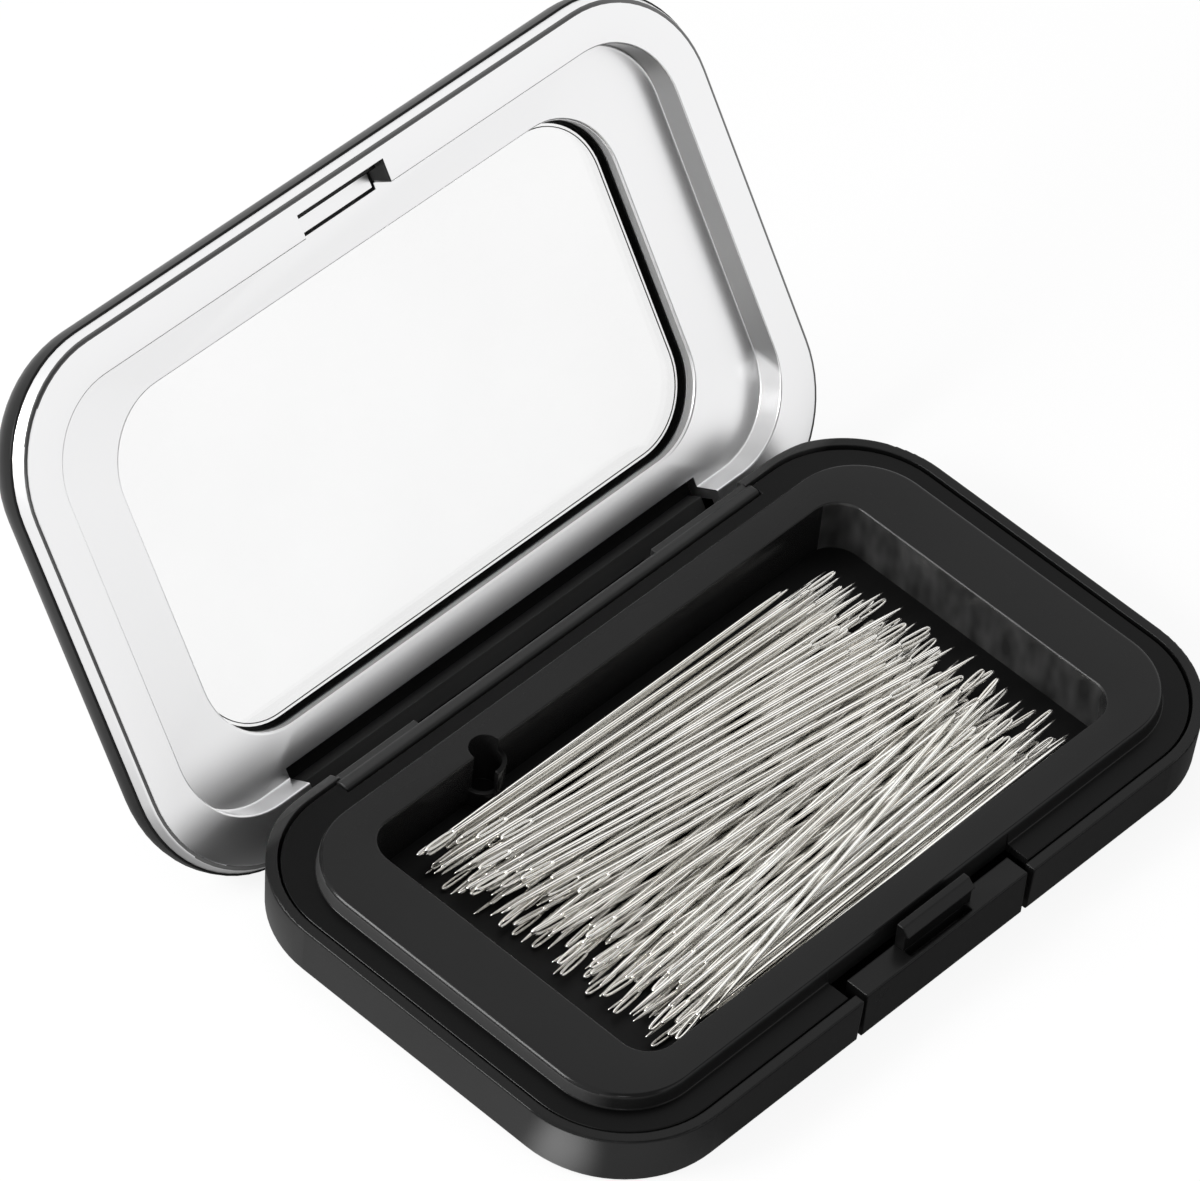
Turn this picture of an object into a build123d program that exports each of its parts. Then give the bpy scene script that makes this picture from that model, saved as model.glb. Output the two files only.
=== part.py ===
"""Magnetic needle case with a hinged window lid, a push tab latch and a heap of needles.

All sizes are in millimetres. The origin is the centre of the flat pad that the case stands on,
+X runs along the hinge, +Y runs from the latch at the front to the hinge at the back, and +Z is up.
The lid is drawn as it lies when shut, on planes that are already swung open about the hinge line.
"""
import os
from math import atan, cos, degrees, radians, sin

from build123d import *

os.makedirs("parts", exist_ok=True)

# Base shell
case_length = 95.0
case_width = 57.6
case_corner = 13.2
base_height = 6.35
shell_wall = 1.2
shell_floor = 0.7
pad_step = 0.1
pad_margin = 1.5
foot_inset = 0.25
foot_round = 0.3
rim_round = 0.2

# Tray insert and the sheet under it
tray_gap = 0.3
flange_top = 6.15
flange_under = 5.05
plateau_top = 8.0
plateau_margin = 4.52
plateau_back_margin = 5.57
plateau_corner = 8.7
plateau_round = 0.3
well_length = 71.0
well_width = 39.54
well_shift = -0.5
well_corner = 3.5
well_wall = 1.0
sheet_thickness = 0.5
notch_x = -17.6
notch_y = 19.4
notch_radius = 2.0
notch_depth = 2.8
boss_radius = 2.3
boss_top = 4.6

# Hinge
hinge_y = 26.7
hinge_z = 2.57
open_angle = 124.15
pin_radius = 0.5
pin_start = 18.8
pin_length = 12.4
barrel_radius = 1.3
barrel_play = 0.05
arm_start = 20.4
arm_length = 9.2
arm_side_gap = 0.2
ear_thickness = 1.6
ear_front = 24.6
ear_top = 4.9
hinge_half = 30.4
ridge_front = 25.9
ridge_overlap = 0.4
ridge_back = 27.6
ridge_top = 6.3
ridge_round = 0.6
ridge_under = 4.8
left_rib_start = 19.0
right_rib_start = 16.4
rib_end = 30.3
rib_back = 28.1
rib_under = 5.3
rib_top = 6.15
tray_back_at_hinge = 25.65
tray_end_gap = 0.2
swing_relief = 3.8
relief_half = 41.0
relief_floor = 4.5

# Latch
latch_gap_half = 12.85
latch_gap_back = -25.4
flange_gap_half = 13.55
tab_half = 12.05
tab_front = -28.55
tab_back = -25.7
tab_foot = 0.15
tab_top = 6.34
tab_round = 0.2
latch_pin_y = -27.2
latch_pin_z = 1.45
latch_pin_radius = 0.4
latch_ear = 2.2
latch_ear_back = -26.0
latch_ear_top = 3.2
hook_half = 5.0
hook_front = -27.0
hook_top = 9.4
hook_top_front = -26.45
nose_front = -27.45
nose_under = 8.4
nose_round = 0.08
pocket_depth = 1.6
pocket_width = 1.0
pocket_end_gap = 0.8

# Lid, with heights counted up from its rim
parting_gap = 0.1
lid_length = 98.94
lid_width = 61.04
lid_shift = -0.17
lid_corner = 14.4
rim_thickness = 1.45
rim_bead = 1.4
lid_height = 6.4
cover_round = 4.0
cover_wall = 1.0
cover_inner_round = 1.2
recess_length = 88.2
recess_width = 49.7
recess_shift = -0.7
recess_corner = 9.6
recess_depth = 3.2
recess_taper = 3.0
recess_wall = 1.2
frame_depth = 4.7
window_length = 71.7
window_width = 39.5
window_shift = -0.65
window_corner = 8.6
cover_window_inset = 0.1
cover_window_taper = 14.0
pane_seat = 5.6
pane_lap = 1.5
pane_gap = 0.1
hinge_cut_half = 30.5
hinge_cut_front = 22.8

# Leaf and arms of the hinge, as they lie when the lid is shut
leaf_half = 30.1
leaf_front = 24.9
leaf_under = 9.05
leaf_bend = 27.0
arm_inner = 28.3
arm_outer = 29.15
arm_shoulder = 8.1
arm_half_thickness = 0.5

# Catch notch in the lid rim
notch_half = 6.18
notch_front = -28.28
notch_back = -24.6
catch_gap = 0.22
catch_rib_front = -29.75
catch_lip_back = -27.2
catch_lip_height = 0.35

# Needles, lying in crossing layers that are listed from the sheet upwards
needle_length = 54.5
needle_radius = 0.28
point_length = 6.0
point_radius = 0.05
eye_length = 4.4
eye_width = 1.06
eye_thickness = 0.46
eye_hole_length = 3.2
eye_hole_width = 0.5
needle_clearance = 0.08
layer_pitch = 0.62
heap_front = -19.4
heap_back = 17.0
heap_x = 0.9
heap_skew = -0.03
end_scatter = 3.8
# Turns of the needles in degrees, at even steps from the front of each layer to its back
layer_turns = ((0, -3, 2, -2, 0), (0, 4, 5, 3, 0), (0, -5, -8, -4, 0), (1, 8, 3, -2, 0),
               (1, 3, -8, -6, 0), (12, 11, -2, -9, -6, 0))

rim_level = base_height + parting_gap
case_half = case_width / 2
angle = radians(open_angle)


def opened(y, z):
    """Return where a point of the shut lid lies once the lid is open."""
    away = y - hinge_y
    above = z - hinge_z
    return (hinge_y + cos(angle) * away + sin(angle) * above,
            hinge_z - sin(angle) * away + cos(angle) * above)


open_y, open_z = opened(0, rim_level)
lid_across = (0, cos(angle), -sin(angle))
lid_up = (0, sin(angle), cos(angle))
lid_rim = Plane(origin=(0, open_y, open_z), x_dir=(1, 0, 0), z_dir=lid_up)


def lid_side(x):
    """Return a plane across the lid, measured from the hinge line."""
    return Plane(origin=(x, hinge_y, hinge_z), x_dir=lid_across, z_dir=(1, 0, 0))


def slab(plane, length, width, corner, thickness, shift=0.0, taper=0.0, mode=Mode.ADD):
    """Add or cut a plate with rounded corners."""
    with BuildSketch(plane, mode=Mode.PRIVATE) as outline:
        with Locations((0, shift)):
            RectangleRounded(length, width, corner)
    extrude(outline.sketch, amount=thickness, taper=taper, mode=mode)


def block(low, high, mode=Mode.ADD):
    """Add or cut a square block between two corners."""
    middle = tuple((a + b) / 2 for a, b in zip(low, high))
    with Locations(middle):
        Box(high[0] - low[0], high[1] - low[1], high[2] - low[2], mode=mode)


def profile(plane, points, length, mode=Mode.ADD):
    """Add or cut a bar with the given outline."""
    with BuildSketch(plane, mode=Mode.PRIVATE) as outline:
        with BuildLine():
            Polyline(*points, close=True)
        make_face()
    extrude(outline.sketch, amount=length, mode=mode)


def rod(plane, y, z, radius, length, mode=Mode.ADD):
    """Add or cut a round bar along X."""
    with BuildSketch(plane, mode=Mode.PRIVATE) as outline:
        with Locations((y, z)):
            Circle(radius)
    extrude(outline.sketch, amount=length, mode=mode)


# Base shell
wall_height = base_height - pad_step
ridge_half = hinge_half + ridge_overlap
with BuildPart() as base_shell:
    slab(Plane.XY.offset(pad_step), case_length - 2 * foot_inset, case_width - 2 * foot_inset,
         case_corner - foot_inset, wall_height, taper=-degrees(atan(foot_inset / wall_height)))
    fillet(base_shell.faces().sort_by(Axis.Z)[0].outer_wire().edges(), foot_round)
    fillet(base_shell.faces().sort_by(Axis.Z)[-1].outer_wire().edges(), rim_round)
    slab(Plane.XY, case_length - 2 * pad_margin, case_width - 2 * pad_margin,
         case_corner - pad_margin, shell_floor)
    slab(Plane.XY.offset(shell_floor), case_length - 2 * shell_wall, case_width - 2 * shell_wall,
         case_corner - shell_wall, base_height, mode=Mode.SUBTRACT)
    # Lowered wall behind the tray, with a rounded top
    block((-hinge_half, ridge_back, pad_step - 1), (hinge_half, case_half + 1, base_height + 1),
          mode=Mode.SUBTRACT)
    with BuildPart(mode=Mode.PRIVATE) as ridge:
        block((-ridge_half, ridge_front, pad_step), (ridge_half, ridge_back, ridge_top))
        fillet(ridge.edges().filter_by(Axis.X).group_by(Axis.Z)[-1], ridge_round)
    add(ridge.part)
    for side, rib_start in ((-1, left_rib_start), (1, right_rib_start)):
        rib_from = min(side * rib_start, side * rib_end)
        block((rib_from, ridge_back - ridge_round, rib_under),
              (rib_from + rib_end - rib_start, rib_back, rib_top))
        for ear_x in (arm_start - arm_side_gap - ear_thickness, arm_start + arm_length + arm_side_gap):
            ear_from = min(side * ear_x, side * (ear_x + ear_thickness))
            block((ear_from, ear_front, pad_step), (ear_from + ear_thickness, ridge_back, ear_top))
        pocket_from = min(side * (arm_start - arm_side_gap),
                          side * (arm_start + arm_length + arm_side_gap))
        block((pocket_from, ear_front, -1),
              (pocket_from + arm_length + 2 * arm_side_gap, case_half + 1, ridge_under),
              mode=Mode.SUBTRACT)
        pin_from = min(side * pin_start, side * (pin_start + pin_length))
        rod(Plane.YZ.offset(pin_from), hinge_y, hinge_z, pin_radius, pin_length, mode=Mode.SUBTRACT)
    # Back edge rounded about the hinge line so that the lid rim rolls past it
    with BuildSketch(Plane.YZ.offset(-relief_half), mode=Mode.PRIVATE) as back_edge:
        with Locations(((ridge_back + case_half + 1) / 2, (relief_floor + base_height + 1) / 2)):
            Rectangle(case_half + 1 - ridge_back, base_height + 1 - relief_floor)
        with Locations((hinge_y, hinge_z)):
            Circle(swing_relief, mode=Mode.SUBTRACT)
    extrude(back_edge.sketch, amount=2 * relief_half, mode=Mode.SUBTRACT)
    # Gap for the push tab, with a bearing for its pin at each side
    block((-latch_gap_half - latch_ear, -case_half + foot_round, shell_floor),
          (latch_gap_half + latch_ear, latch_ear_back, latch_ear_top))
    block((-latch_gap_half, -case_half - 1, -1), (latch_gap_half, latch_gap_back, base_height + 1),
          mode=Mode.SUBTRACT)
    rod(Plane.YZ.offset(-latch_gap_half - latch_ear), latch_pin_y, latch_pin_z, latch_pin_radius,
        2 * (latch_gap_half + latch_ear), mode=Mode.SUBTRACT)
base_shell.part.label = "base_shell"
export_step(base_shell.part, "parts/base_shell.step")

# Magnet sheet
sheet_top = shell_floor + sheet_thickness
with BuildPart() as magnet_sheet:
    slab(Plane.XY.offset(shell_floor), well_length + 2 * well_wall, well_width + 2 * well_wall,
         well_corner + well_wall, sheet_thickness, shift=well_shift)
magnet_sheet.part.label = "magnet_sheet"
export_step(magnet_sheet.part, "parts/magnet_sheet.step")

# Tray insert
flange_margin = shell_wall + tray_gap
plateau_width = case_width - plateau_margin - plateau_back_margin
plateau_shift = (plateau_margin - plateau_back_margin) / 2
with BuildPart() as tray_insert:
    slab(Plane.XY.offset(flange_under), case_length - 2 * plateau_margin, plateau_width,
         plateau_corner, plateau_top - flange_under, shift=plateau_shift)
    fillet(tray_insert.faces().sort_by(Axis.Z)[-1].outer_wire().edges(), plateau_round)
    slab(Plane.XY.offset(flange_under), case_length - 2 * flange_margin,
         case_width - 2 * flange_margin, case_corner - flange_margin, flange_top - flange_under)
    block((-ridge_half - tray_end_gap, tray_back_at_hinge, 0),
          (ridge_half + tray_end_gap, case_half, plateau_top), mode=Mode.SUBTRACT)
    block((-flange_gap_half, -case_half, 0),
          (flange_gap_half, plateau_margin - case_half, plateau_top), mode=Mode.SUBTRACT)
    slab(Plane.XY.offset(sheet_top), well_length + 2 * well_wall, well_width + 2 * well_wall,
         well_corner + well_wall, plateau_top - sheet_top - 1, shift=well_shift)
    slab(Plane.XY.offset(sheet_top), well_length, well_width, well_corner,
         plateau_top, shift=well_shift, mode=Mode.SUBTRACT)
    with Locations((notch_x, notch_y, (boss_top + sheet_top) / 2)):
        Cylinder(boss_radius, boss_top - sheet_top)
    with Locations((notch_x, notch_y, plateau_top)):
        Cylinder(notch_radius, 2 * notch_depth, mode=Mode.SUBTRACT)
tray_insert.part.label = "tray_insert"
export_step(tray_insert.part, "parts/tray_insert.step")

# Hinge pins
for name, side in (("hinge_pin_left", -1), ("hinge_pin_right", 1)):
    with BuildPart() as hinge_pin:
        pin_from = min(side * pin_start, side * (pin_start + pin_length))
        rod(Plane.YZ.offset(pin_from), hinge_y, hinge_z, pin_radius, pin_length)
    hinge_pin.part.label = name
    export_step(hinge_pin.part, f"parts/{name}.step")

# Latch pin
with BuildPart() as latch_pin:
    rod(Plane.YZ.offset(-latch_gap_half - latch_ear), latch_pin_y, latch_pin_z, latch_pin_radius,
        2 * (latch_gap_half + latch_ear))
latch_pin.part.label = "latch_pin"
export_step(latch_pin.part, "parts/latch_pin.step")

# Latch tab
with BuildPart() as latch_tab:
    block((-tab_half, tab_front, tab_foot), (tab_half, tab_back, tab_top))
    fillet(latch_tab.edges().filter_by(Axis.X).group_by(Axis.Y)[0], tab_round)
    block((-hook_half, hook_front - pocket_width, tab_top - pocket_depth),
          (hook_half - pocket_end_gap, hook_front, tab_top + 1), mode=Mode.SUBTRACT)
    rod(Plane.YZ.offset(-tab_half), latch_pin_y, latch_pin_z, latch_pin_radius + barrel_play,
        2 * tab_half, mode=Mode.SUBTRACT)
latch_tab.part.label = "latch_tab"
export_step(latch_tab.part, "parts/latch_tab.step")

# Latch hook
with BuildPart() as latch_hook:
    profile(Plane.YZ.offset(-hook_half),
            ((tab_back, tab_top), (tab_back, hook_top), (hook_top_front, hook_top),
             (nose_front, nose_under), (hook_front, nose_under), (hook_front, tab_top)),
            2 * hook_half)
    fillet(latch_hook.edges().filter_by(Axis.X).group_by(Axis.Y)[0].sort_by(Axis.Z)[-1], nose_round)
latch_hook.part.label = "latch_hook"
export_step(latch_hook.part, "parts/latch_hook.step")

# Lid frame
with BuildPart() as lid_frame:
    slab(lid_rim, lid_length, lid_width, lid_corner, rim_thickness, shift=lid_shift)
    rim_face = lid_frame.faces().sort_by(Axis(lid_rim.origin, lid_up))[0]
    fillet(rim_face.outer_wire().edges(), rim_bead)
    slab(lid_rim, recess_length + 2 * recess_wall, recess_width + 2 * recess_wall,
         recess_corner + recess_wall, frame_depth, shift=recess_shift)
    slab(lid_rim, recess_length, recess_width, recess_corner, recess_depth, shift=recess_shift,
         taper=recess_taper, mode=Mode.SUBTRACT)
    slab(lid_rim, window_length, window_width, window_corner, frame_depth, shift=window_shift,
         mode=Mode.SUBTRACT)
    with BuildSketch(lid_rim, mode=Mode.PRIVATE) as cuts:
        with Locations((0, (notch_front + notch_back) / 2)):
            Rectangle(2 * notch_half, notch_back - notch_front)
        with Locations((0, (hinge_cut_front + lid_width) / 2)):
            Rectangle(2 * hinge_cut_half, lid_width - hinge_cut_front)
    extrude(cuts.sketch, amount=frame_depth, mode=Mode.SUBTRACT)
lid_frame.part.label = "lid_frame"
export_step(lid_frame.part, "parts/lid_frame.step")

# Lid cover
with BuildPart() as lid_cover:
    slab(lid_rim.offset(rim_thickness), lid_length, lid_width, lid_corner,
         lid_height - rim_thickness, shift=lid_shift)
    top_face = lid_cover.faces().sort_by(Axis(lid_rim.origin, lid_up))[-1]
    fillet(top_face.outer_wire().edges(), cover_round)
    with BuildPart(mode=Mode.PRIVATE) as hollow:
        slab(lid_rim.offset(rim_thickness), lid_length - 2 * cover_wall, lid_width - 2 * cover_wall,
             lid_corner - cover_wall, frame_depth - rim_thickness, shift=lid_shift)
        inner_face = hollow.faces().sort_by(Axis(lid_rim.origin, lid_up))[-1]
        fillet(inner_face.outer_wire().edges(), cover_inner_round)
    add(hollow.part, mode=Mode.SUBTRACT)
    # Catch rib behind the rim, with a lip that the hook closes over
    for catch_back, catch_height in ((notch_front, frame_depth - rim_thickness),
                                     (catch_lip_back, catch_lip_height)):
        with BuildSketch(lid_rim.offset(rim_thickness), mode=Mode.PRIVATE) as catch:
            with Locations((0, (catch_rib_front + catch_back) / 2)):
                Rectangle(2 * (notch_half - catch_gap), catch_back - catch_rib_front)
        extrude(catch.sketch, amount=catch_height)
    slab(lid_rim.offset(frame_depth), window_length - 2 * cover_window_inset,
         window_width - 2 * cover_window_inset, window_corner - cover_window_inset,
         lid_height - frame_depth, shift=window_shift, taper=cover_window_taper,
         mode=Mode.SUBTRACT)
    slab(lid_rim.offset(pane_seat), window_length + 2 * pane_lap, window_width + 2 * pane_lap,
         window_corner + pane_lap, lid_height, shift=window_shift, mode=Mode.SUBTRACT)
lid_cover.part.label = "lid_cover"
export_step(lid_cover.part, "parts/lid_cover.step")

# Window pane
with BuildPart() as window_pane:
    slab(lid_rim.offset(pane_seat), window_length + 2 * (pane_lap - pane_gap),
         window_width + 2 * (pane_lap - pane_gap), window_corner + pane_lap - pane_gap,
         lid_height - pane_seat, shift=window_shift)
window_pane.part.label = "window_pane"
export_step(window_pane.part, "parts/window_pane.step")

# Catch plate
with BuildPart() as catch_plate:
    with BuildSketch(lid_rim.offset(recess_depth), mode=Mode.PRIVATE) as plate:
        with Locations((0, (notch_front + notch_back - catch_gap) / 2)):
            Rectangle(2 * (notch_half - catch_gap), notch_back - catch_gap - notch_front)
    extrude(plate.sketch, amount=frame_depth - recess_depth)
catch_plate.part.label = "catch_plate"
export_step(catch_plate.part, "parts/catch_plate.step")

# Hinge leaf with its arms and barrels
leaf_top = rim_level + frame_depth
leaf_points = ((leaf_front, leaf_under), (leaf_front, leaf_top), (leaf_bend, leaf_top),
               (leaf_bend, leaf_under))
arm_points = ((leaf_bend, leaf_under), (leaf_bend, leaf_top - arm_half_thickness),
              (arm_outer, arm_shoulder + arm_half_thickness), (arm_outer, hinge_z + 2.5),
              (hinge_y + arm_half_thickness, hinge_z - arm_half_thickness),
              (hinge_y - arm_half_thickness, hinge_z + arm_half_thickness),
              (arm_inner, hinge_z + 2.9), (arm_inner, arm_shoulder))
with BuildPart() as hinge_leaf:
    profile(lid_side(-leaf_half), [(y - hinge_y, z - hinge_z) for y, z in leaf_points],
            2 * leaf_half)
    for side in (-1, 1):
        arm_from = min(side * arm_start, side * (arm_start + arm_length))
        profile(lid_side(arm_from), [(y - hinge_y, z - hinge_z) for y, z in arm_points], arm_length)
        rod(lid_side(arm_from), 0, 0, barrel_radius, arm_length)
        rod(lid_side(arm_from), 0, 0, pin_radius + barrel_play, arm_length, mode=Mode.SUBTRACT)
hinge_leaf.part.label = "hinge_leaf"
export_step(hinge_leaf.part, "parts/hinge_leaf.step")

# One needle, with its eye towards -X
with BuildPart() as needle:
    shaft_length = needle_length - point_length - eye_length / 2
    with BuildSketch(Plane.YZ.offset(eye_length / 2 - needle_length / 2)) as shaft:
        Circle(needle_radius)
    extrude(amount=shaft_length)
    with Locations((needle_length / 2 - point_length / 2, 0, 0)):
        Cone(needle_radius, point_radius, point_length, rotation=(0, 90, 0))
    with BuildSketch(Plane.XY.offset(-eye_thickness / 2)) as eye:
        with Locations((eye_length / 2 - needle_length / 2, 0)):
            SlotOverall(eye_length, eye_width)
    extrude(amount=eye_thickness)
    with BuildSketch(Plane.XY.offset(-eye_thickness)) as eye_hole:
        with Locations((eye_length / 2 - needle_length / 2, 0)):
            SlotOverall(eye_hole_length, eye_hole_width)
    extrude(amount=2 * eye_thickness, mode=Mode.SUBTRACT)


def turn_at(y, turns):
    """Return the turn in degrees of a needle whose middle lies at this place in its layer."""
    step = (y - heap_front) / (heap_back - heap_front) * (len(turns) - 1)
    low = min(int(step), len(turns) - 2)
    return turns[low] + (turns[low + 1] - turns[low]) * (step - low)


def layer_rows(turns):
    """Return the middle and the turn of each needle, spaced so that no two of them meet."""
    row_gap = eye_width / 2 + needle_radius + needle_clearance
    rows = []
    y = heap_front
    while y < heap_back:
        turn = turn_at(y, turns)
        side_reach = needle_length / 2 * abs(sin(radians(turn))) + eye_width / 2
        if heap_front - eye_width / 2 < y - side_reach and y + side_reach < heap_back:
            rows.append((y, turn))
        following = y
        for _ in range(30):
            spread = needle_length / 2 * abs(radians(turn_at(following, turns) - turn))
            following = y + (row_gap + spread) / cos(radians(turn))
        y = following
    return rows


# Needle layers
for level, turns in enumerate(layer_turns):
    layer_z = sheet_top + needle_radius + level * layer_pitch
    with BuildPart() as needle_layer:
        for row, (y, turn) in enumerate(layer_rows(turns)):
            along = end_scatter * sin(2.4 * row + 1.7 * level)
            x = heap_x + heap_skew * y + along * cos(radians(turn))
            flip = 180 * ((row + level) % 2)
            with Locations(Location((x, y + along * sin(radians(turn)), layer_z),
                                    (0, 0, turn + flip))):
                add(needle.part)
    needle_layer.part.label = f"needle_layer_{level + 1}"
    export_step(needle_layer.part, f"parts/needle_layer_{level + 1}.step")
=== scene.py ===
"""Looks of the magnetic needle case: lid open, needles heaped in the well, seen from the front left.

Sizes are in millimetres and are turned into metres when a mesh is made. The lid is drawn as it lies
when shut, with heights counted from its rim, and is then swung open about the hinge line. An outline
is a rounded rectangle, written as half length, front, back and corner radius.
"""
from math import atan2, cos, pi, radians, sin, sqrt

import bpy
from mathutils import Matrix, Vector


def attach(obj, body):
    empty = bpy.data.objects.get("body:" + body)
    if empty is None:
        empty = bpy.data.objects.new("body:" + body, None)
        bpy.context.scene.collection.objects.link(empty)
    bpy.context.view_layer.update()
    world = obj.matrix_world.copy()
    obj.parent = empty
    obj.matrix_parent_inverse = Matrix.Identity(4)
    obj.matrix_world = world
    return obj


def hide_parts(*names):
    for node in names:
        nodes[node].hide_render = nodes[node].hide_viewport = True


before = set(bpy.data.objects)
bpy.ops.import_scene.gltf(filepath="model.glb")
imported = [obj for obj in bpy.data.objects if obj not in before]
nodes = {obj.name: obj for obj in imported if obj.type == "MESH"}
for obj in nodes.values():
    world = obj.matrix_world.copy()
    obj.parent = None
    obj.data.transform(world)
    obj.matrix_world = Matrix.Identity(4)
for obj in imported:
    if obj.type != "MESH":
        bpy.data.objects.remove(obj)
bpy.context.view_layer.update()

MM = 0.001

# Fineness of the meshes
CORNER_STEPS = 16
ROUND_STEPS = 8
POST_STEPS = 40
SMALLEST_CORNER = 0.02
SHARED_EDGE = 0.98
SHARP_ANGLE = 40
BEVEL_SEGMENTS = 3
BEVEL_SAMPLES = 8

# Base and tray
CASE = (47.5, -28.8, 28.8, 13.2)
PLATEAU = (42.98, -24.28, 23.23, 8.7)
WELL = (35.5, -20.27, 19.27, 3.5)
FLANGE_INSET = 1.5
FLANGE_UNDERSIDE = 5.05
FLANGE_TOP = 6.15
FLANGE_ROUND = 0.18
FLANGE_LOWER_ROUND = 0.1
PLATEAU_TOP = 8.0
PLATEAU_DRAFT = 0.2
PLATEAU_ROUND = 0.6
PLATEAU_FOOT_ROUND = 0.15
WELL_WALL = 1.0
WELL_ROUND = 0.3
SHEET_TOP = 1.2
TRAY_BEVEL = 0.12

# Finger notch in the back of the well, with the round boss that it is sunk in
NOTCH_X = -17.6
NOTCH_Y = 19.4
NOTCH_FLOOR = 1.3
NOTCH_RADIUS = 1.8
BOSS_TOP = 6.2
BOSS_RADIUS = 2.3
ABOVE_TRAY = 12

# Hinge line
HINGE_Y = 26.7
HINGE_Z = 2.57
OPEN_ANGLE = radians(124.15)

# Lid frame
LID = (49.47, -30.69, 30.35, 14.4)
RIM_LEVEL = 6.45
RECESS = (44.1, -25.55, 24.15, 9.6)
WINDOW = (35.85, -20.4, 19.1, 8.6)
FRAME_BACK = 1.41
FRAME_BEND = 1.25
FRAME_SIDE_INSET = 0.22
FRAME_BEND_INSET = 0.28
FRAME_FACE_INSET = 0.75
FRAME_FACE_RING = 3.0
FRAME_SIDE_ROUND = 0.04
FRAME_BEND_ROUND = 0.1
FRAME_EDGE_ROUND = 0.5
FRAME_SKIRT = 1.2
FRAME_BEVEL = 0.18
RECESS_DEPTH = 3.2
RECESS_DRAFT = 0.18
RECESS_ROUND = 0.2
WINDOW_ROUND = 0.3
FRAME_DEPTH = 4.7
CUT_EDGE_START = 3.55
CUT_EDGE_END = 4.45
CUT_EDGE_PROUD = 0.03
CUT_EDGE_ROUND = 0.02

# Lid cover, window pane, and the liner and the thin dark ring round the pane
COVER_EDGE = 1.45
COVER_TOP = 6.35
COVER_EDGE_ROUND = 0.06
COVER_ROUND = 3.95
COVER_TOP_RING = 8.2
COVER_LAP = 1.4
COVER_LAP_ROUND = 0.1
COVER_WALL = 1.0
COVER_INNER_ROUND = 1.0
COVER_SEAT_INSET = 0.33
COVER_OPENING_INSET = 0.1
PANE_SEAT = 5.6
PANE_TOP = 6.4
PANE_LAP = 1.35
PANE_BEVEL = 0.08
LINER_START = 4.72
LINER_END = 5.58
LINER_INSET = 0.04
LINER_LEAN = 0.26
LINER_THICKNESS = 0.12
DARK_RING_START = 5.51
DARK_RING_END = 5.59
DARK_RING_OUTER = 0.7
DARK_RING_INNER = 0.8
PLATE_BEVEL = 0.06

# Boxes, each from its low corner to its high one
BEHIND = 40
BEFORE = -40
ABOVE = 20
BELOW = -5
NOTCH_SLOT = ((-20.3, 16.6, 3.4), (-17.9, 19.25, ABOVE_TRAY))
HINGE_CUT = ((-31.0, 25.65, 0), (31.0, BEHIND, ABOVE))
LATCH_CUT = ((-13.55, BEFORE, 0), (13.55, PLATEAU[1], ABOVE))
LID_HINGE_CUT = ((-30.5, 22.8, BELOW), (30.5, BEHIND, ABOVE))
CATCH_CUT = ((-6.18, -28.28, BELOW), (6.18, -24.6, ABOVE))
CATCH_PLATE = ((-5.99, -28.2, RECESS_DEPTH), (5.86, -24.96, 4.66))
# Thin dark sheet on the end wall of the catch notch, as painted shade
CATCH_NOTCH_SHADE = ((6.11, -28.25, 0.12), (6.17, -25.66, 3.18))
CATCH_RIB = ((-5.96, -29.75, COVER_EDGE), (5.96, -28.28, 4.8))
CATCH_LIP = ((-5.96, -28.6, COVER_EDGE), (5.96, -27.3, 1.8))


def inset(outline, amount):
    """Return an outline moved inwards by an amount."""
    half, front, back, corner = outline
    return (half - amount, front + amount, back - amount, corner - amount)


def flat(x, y, z):
    """Place a point of the base."""
    return (x * MM, y * MM, z * MM)


def opened(x, y, h):
    """Place a point of the lid, with its height counted from the rim, as it lies when open."""
    away = y - HINGE_Y
    above = RIM_LEVEL + h - HINGE_Z
    return (x * MM, (HINGE_Y + cos(OPEN_ANGLE) * away + sin(OPEN_ANGLE) * above) * MM,
            (HINGE_Z - sin(OPEN_ANGLE) * away + cos(OPEN_ANGLE) * above) * MM)


def ring(outline, z, place):
    """Return the points round an outline."""
    half, front, back, corner = outline
    corner = max(corner, SMALLEST_CORNER)
    centres = ((half - corner, back - corner, 0), (corner - half, back - corner, 90),
               (corner - half, front + corner, 180), (half - corner, front + corner, 270))
    points = []
    for x, y, start in centres:
        for step in range(CORNER_STEPS + 1):
            turn = radians(start + 90 * step / CORNER_STEPS)
            points.append(place(x + corner * cos(turn), y + corner * sin(turn), z))
    return points


def rounded(profile, closed):
    """Return the rings of a profile of (outline, height, rounding) with each corner rounded."""
    flat_rows = [list(outline) + [z] for outline, z, _ in profile]
    count = len(profile)
    rows = []
    for index, (_, _, radius) in enumerate(profile):
        here = flat_rows[index]
        inner = closed or 0 < index < count - 1
        if not radius or not inner:
            rows.append(here)
            continue
        ways = []
        for beside in (index - 1, (index + 1) % count):
            other = flat_rows[beside]
            length = sqrt((other[0] - here[0]) ** 2 + (other[4] - here[4]) ** 2)
            reach = min(1 / length, SHARED_EDGE / (radius + profile[beside][2])) * radius
            ways.append([a + (b - a) * reach for a, b in zip(here, other)])
        for step in range(ROUND_STEPS + 1):
            t = step / ROUND_STEPS
            # Weighted so that a right angle gives a true quarter circle
            weight = sqrt(0.5)
            parts = ((1 - t) ** 2, 2 * weight * t * (1 - t), t ** 2)
            total = sum(parts)
            rows.append([(parts[0] * a + parts[1] * b + parts[2] * c) / total
                         for a, b, c in zip(ways[0], here, ways[1])])
    return [(tuple(row[:4]), row[4]) for row in rows]


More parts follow.
